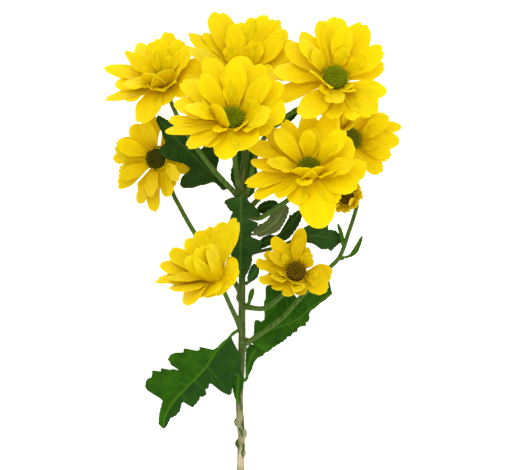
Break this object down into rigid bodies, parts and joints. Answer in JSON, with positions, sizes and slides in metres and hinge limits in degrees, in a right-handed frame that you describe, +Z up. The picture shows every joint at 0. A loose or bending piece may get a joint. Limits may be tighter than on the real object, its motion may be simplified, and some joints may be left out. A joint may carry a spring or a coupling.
{
  "type": "cut flower spray",
  "caption": "Cut spray of yellow daisy-flowered chrysanthemum lying on its back: a branched stem with lobed leaves, open flower heads and a half-open bud.",
  "frame": {"origin": "on the small flat under the cut end of the stem, where it rests on the ground plane", "axes": "+Y along the stem towards the flower heads, +Z up from the ground, +X to the right seen from above"},
  "size_m": [0.1563, 0.2494, 0.0813],
  "materials": {
    "petal": "soft satin, golden yellow towards the root and lemon at the tip",
    "disc": "matt, made of small green florets, brown in the lower right head",
    "calyx": "matt green",
    "stem": "ribbed grey-green, tan and knobbly towards the cut end",
    "leaf": "satin mid to dark green with pale veins",
    "leaf_underside": "matt pale grey-green"
  },
  "bodies": {
    "root": {"bract_axil": "leaf", "bract_fork_left": "leaf", "bract_fork_right": "leaf", "bract_low_front": "leaf", "bract_low_right": "leaf", "bud_right_calyx": "calyx", "bud_right_disc": "disc", "bud_right_petals": "petal", "crown_back_calyx": "calyx", "crown_back_disc": "disc", "crown_back_petals": "petal", "crown_left_calyx": "calyx", "crown_left_disc": "disc", "crown_left_petals": "petal", "crown_right_calyx": "calyx", "crown_right_disc": "disc", "crown_right_petals": "petal", "far_left_calyx": "calyx", "far_left_disc": "disc", "far_left_petals": "petal", "far_right_calyx": "calyx", "far_right_disc": "disc", "far_right_petals": "petal", "front_left_calyx": "calyx", "front_left_disc": "disc", "front_left_petals": "petal", "front_right_calyx": "calyx", "front_right_disc": "disc", "front_right_petals": "petal", "leaf_behind": "leaf", "leaf_behind_right": "leaf", "leaf_crown": "leaf", "leaf_hanging": "leaf", "leaf_low_left": "leaf", "leaf_low_right": "leaf", "leaf_narrow": "leaf", "leaf_pale": "leaf_underside", "leaf_right": "leaf", "leaf_small_dark": "leaf", "leaf_upper_left": "leaf", "low_left_calyx": "calyx", "low_left_disc": "disc", "low_left_petals": "petal", "low_right_calyx": "calyx", "low_right_disc": "disc", "low_right_petals": "petal", "stem": "stem"}
  },
  "joints": []
}
